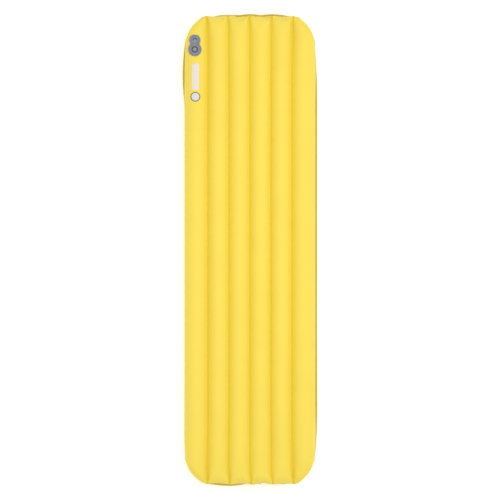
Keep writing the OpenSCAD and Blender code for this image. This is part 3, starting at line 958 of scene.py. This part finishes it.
def printed_ink(name):
    """Pale ink screened on the fabric: a plain panel with narrow crosswise gaps."""
    m, nodes, links, bsdf = shader(name)
    uv = nodes.new("ShaderNodeUVMap")
    uv.uv_map = "pattern"
    split = nodes.new("ShaderNodeSeparateXYZ")
    links.new(uv.outputs["UV"], split.inputs[0])
    bars = band(nodes, links, split.outputs["Y"], 0.25, 0.105, 0.006)
    rim = math_node(nodes, links, "LESS_THAN", math_node(nodes, links, "ABSOLUTE", split.outputs["X"]), 0.94)
    bars = math_node(nodes, links, "MULTIPLY", bars, rim)
    place = nodes.new("ShaderNodeTexCoord").outputs["Object"]
    worn = noise(nodes, links, place, 420, 4)
    bars = math_node(nodes, links, "MULTIPLY", bars, math_node(nodes, links, "ADD", 0.75,
                     math_node(nodes, links, "MULTIPLY", worn, 0.4)))
    bars = math_node(nodes, links, "MINIMUM", bars, 1)
    tone = mix_colour(nodes, links, bars, INK_GROUND, INK)
    links.new(tone, bsdf.inputs["Base Color"])
    links.new(math_node(nodes, links, "ADD", 0.42, math_node(nodes, links, "MULTIPLY", worn, 0.2)),
              bsdf.inputs["Roughness"])
    bump(nodes, links, bsdf, [(bars, 0.00006, 0.4), (worn, 0.00003, 0.3)])
    return m


def spring_wire(name):
    m, nodes, links, bsdf = shader(name)
    place = nodes.new("ShaderNodeTexCoord").outputs["Object"]
    drawn = noise(nodes, links, place, 3000, 2)
    links.new(mix_colour(nodes, links, drawn, (0.45, 0.45, 0.47), (0.75, 0.75, 0.77)),
              bsdf.inputs["Base Color"])
    links.new(math_node(nodes, links, "ADD", 0.22, math_node(nodes, links, "MULTIPLY", drawn, 0.2)),
              bsdf.inputs["Roughness"])
    bsdf.inputs["Metallic"].default_value = 1
    bump(nodes, links, bsdf, [(drawn, 0.00002, 0.3)])
    return m


def baffle_film(name):
    m, nodes, links, bsdf = shader(name)
    place = nodes.new("ShaderNodeTexCoord").outputs["Object"]
    cloth = noise(nodes, links, place, 1500, 2)
    cloud = noise(nodes, links, place, 30)
    tone = mix_colour(nodes, links, cloud, (0.78, 0.66, 0.30), (0.88, 0.76, 0.40))
    links.new(mix_colour(nodes, links, math_node(nodes, links, "MULTIPLY", cloth, 0.2), tone, (0.6, 0.5, 0.2)),
              bsdf.inputs["Base Color"])
    links.new(math_node(nodes, links, "ADD", 0.45, math_node(nodes, links, "MULTIPLY", cloth, 0.2)),
              bsdf.inputs["Roughness"])
    bump(nodes, links, bsdf, [(cloth, 0.00005, 0.4)])
    return m


def floor_paper():
    m, nodes, links, bsdf = shader("pale_floor")
    place = nodes.new("ShaderNodeTexCoord").outputs["Object"]
    fibre = noise(nodes, links, place, 40)
    links.new(mix_colour(nodes, links, fibre, (0.96, 0.96, 0.96), (0.99, 0.99, 0.99)),
              bsdf.inputs["Base Color"])
    bsdf.inputs["Roughness"].default_value = 0.9
    bsdf.inputs["Emission Color"].default_value = (1, 1, 1, 1)
    bsdf.inputs["Emission Strength"].default_value = 0.22
    return m


def paint(target, material):
    """Gives a piece or a CAD node its only material."""
    slots = target.material_slots
    if not slots:
        target.data.materials.append(material)
    for s in slots:
        s.material = material


# ------------------------------------------------------------------ the scene

def studio():
    scene = bpy.context.scene
    scene.view_settings.view_transform = "Standard"
    world = bpy.data.worlds.new("studio")
    scene.world = world
    world.use_nodes = True
    world.node_tree.nodes["Background"].inputs["Color"].default_value = (1, 1, 1, 1)
    world.node_tree.nodes["Background"].inputs["Strength"].default_value = SKY
    for name, power, size, at in LAMPS:
        light = bpy.data.lights.new(name, "AREA")
        light.shape = "RECTANGLE"
        light.size, light.size_y = size
        light.energy = power
        lamp = bpy.data.objects.new(name, light)
        lamp.location = at
        lamp.rotation_euler = (-Vector(at)).to_track_quat("-Z", "Y").to_euler()
        scene.collection.objects.link(lamp)
    half = FLOOR_HALF
    mesh = bpy.data.meshes.new("floor")
    mesh.from_pydata([(-half, -half, 0), (half, -half, 0), (half, half, 0), (-half, half, 0)], [],
                     [(0, 1, 2, 3)])
    floor = bpy.data.objects.new("floor", mesh)
    scene.collection.objects.link(floor)
    floor.data.materials.append(floor_paper())
    camera = bpy.data.cameras.new("camera")
    camera.sensor_width = SENSOR
    camera.lens = SENSOR * (EYE - MID_Z) / VIEW_W
    eye = bpy.data.objects.new("camera", camera)
    eye.location = (0, 0, EYE)
    scene.collection.objects.link(eye)
    scene.camera = eye


net = inflated_pad()
# the second and third colours are the weld bands' and welded edge's: partly their own darker colour, partly
# painted shade
FABRIC = coated_fabric("yellow_ripstop", (0.93, 0.72, 0.095), (0.73, 0.55, 0.0), (0.62, 0.48, 0.06), 0.55, 0.15)
BASE = coated_fabric("base_ripstop", (0.86, 0.66, 0.09), (0.76, 0.55, 0.03), (0.62, 0.47, 0.05), 0.6, 0.15)
GREY = moulded("valve_plastic", (0.215, 0.225, 0.265), 0.5)
CAP_GREY = (0.26, 0.27, 0.315)
CAP = moulded("cap_plastic", CAP_GREY, 0.45)
BIG = middle("deflation_seat")
SMALL = middle("inflation_seat")
# each cap's ring is painted shade; the small cap's keeps only its +Y side, a crescent of painted shadow
BIG_CAP = moulded("deflation_cap_plastic", CAP_GREY, 0.45, ring=(BIG[0], BIG[1], 0.0073, 0.0132, -1))
SMALL_CAP = moulded("inflation_cap_plastic", CAP_GREY, 0.45, ring=(SMALL[0], SMALL[1], 0.0042, 0.0084, -0.001))
DARK = moulded("insert_plastic", (0.12, 0.125, 0.15), 0.35, wear=0.4)
BLACK = moulded("seal_rubber", (0.03, 0.03, 0.032), 0.6, wear=0.1)
WHITE = moulded("poppet_plastic", (0.75, 0.75, 0.73), 0.35)
BADGE_RIM = moulded("badge_rim_rubber", (0.13, 0.13, 0.15), 0.55)
BADGE_FACE = moulded("badge_face_rubber", (0.74, 0.73, 0.71), 0.5, grain=1800)
INK_PAINT = printed_ink("panel_ink")
WIRE = spring_wire("drawn_wire")
FILM = baffle_film("baffle_film_cloth")

top = sheet_piece(net, "top_fabric", "top_sheet", net["top"][net["kept"]], net["edge"],
                  SEAM_LIFT)
bottom = sheet_piece(net, "bottom_fabric", "bottom_sheet", net["bottom"], net["edge"][:, ::-1],
                     SEAM_LIFT)
paint(top, FABRIC)
paint(bottom, BASE)
for number in range(1, 6):
    paint(baffle_piece(net, number), FILM)
fabric_at = fabric_under(net)
paint(print_panel_piece(fabric_at), INK_PAINT)
badge_ring, badge_disc = badge_pieces(fabric_at)
paint(badge_ring, BADGE_RIM)
paint(badge_disc, BADGE_FACE)

d_low, d_high = box_of("deflation_strap")
i_low, i_high = box_of("inflation_strap")
paint(strap_piece("deflation_hinge_strap", "deflation_strap", d_high[1], d_low[1]), CAP)
paint(strap_piece("inflation_hinge_strap", "inflation_strap", i_low[1], i_high[1]), CAP)

s_low, s_high = box_of("poppet_spring")
s_tall = s_high[2] - s_low[2]
coil = made_by(coil_tree(WIRE), "valve_spring",
               {"Turns": 5, "Coil radius": (s_high[0] - s_low[0]) / 2 - WIRE_R, "Height": s_tall - 2 * WIRE_R,
                "Wire radius": WIRE_R},
               Matrix.Translation(((s_low[0] + s_high[0]) / 2, (s_low[1] + s_high[1]) / 2, s_low[2] + WIRE_R)),
               "pad")
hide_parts("poppet_spring")
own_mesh(coil)

ribs = grip_rib_tree(CAP)
tab_top = d_low[2] + 0.0012
for cap, name in (("deflation_cap", "deflation_tab_ribs"), ("inflation_cap", "inflation_tab_ribs")):
    low, high = box_of(cap)
    first = low[1] + 0.0006 if cap == "deflation_cap" else high[1] - 0.0006 - 2 * RIB_PITCH
    made_by(ribs, name,
            {"Count": 3, "Pitch": RIB_PITCH, "Length": 0.315 * (high[0] - low[0]), "Radius": 0.00035},
            Matrix.Translation(((low[0] + high[0]) / 2, first, tab_top)), cap)

for material, nodes in ((GREY, ("valve_base", "valve_saddle", "valve_backing")), (BIG_CAP, ("deflation_cap",)),
                        (DARK, ("deflation_seat", "inflation_seat", "tether_stud", "release_button")),
                        (BLACK, ("deflation_cap_seal", "inflation_cap_seal", "poppet_gasket")),
                        (SMALL_CAP, ("inflation_cap",)), (CAP, ("tether_pad",)), (WHITE, ("check_poppet",))):
    for node in nodes:
        paint(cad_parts[node], material)
studio()
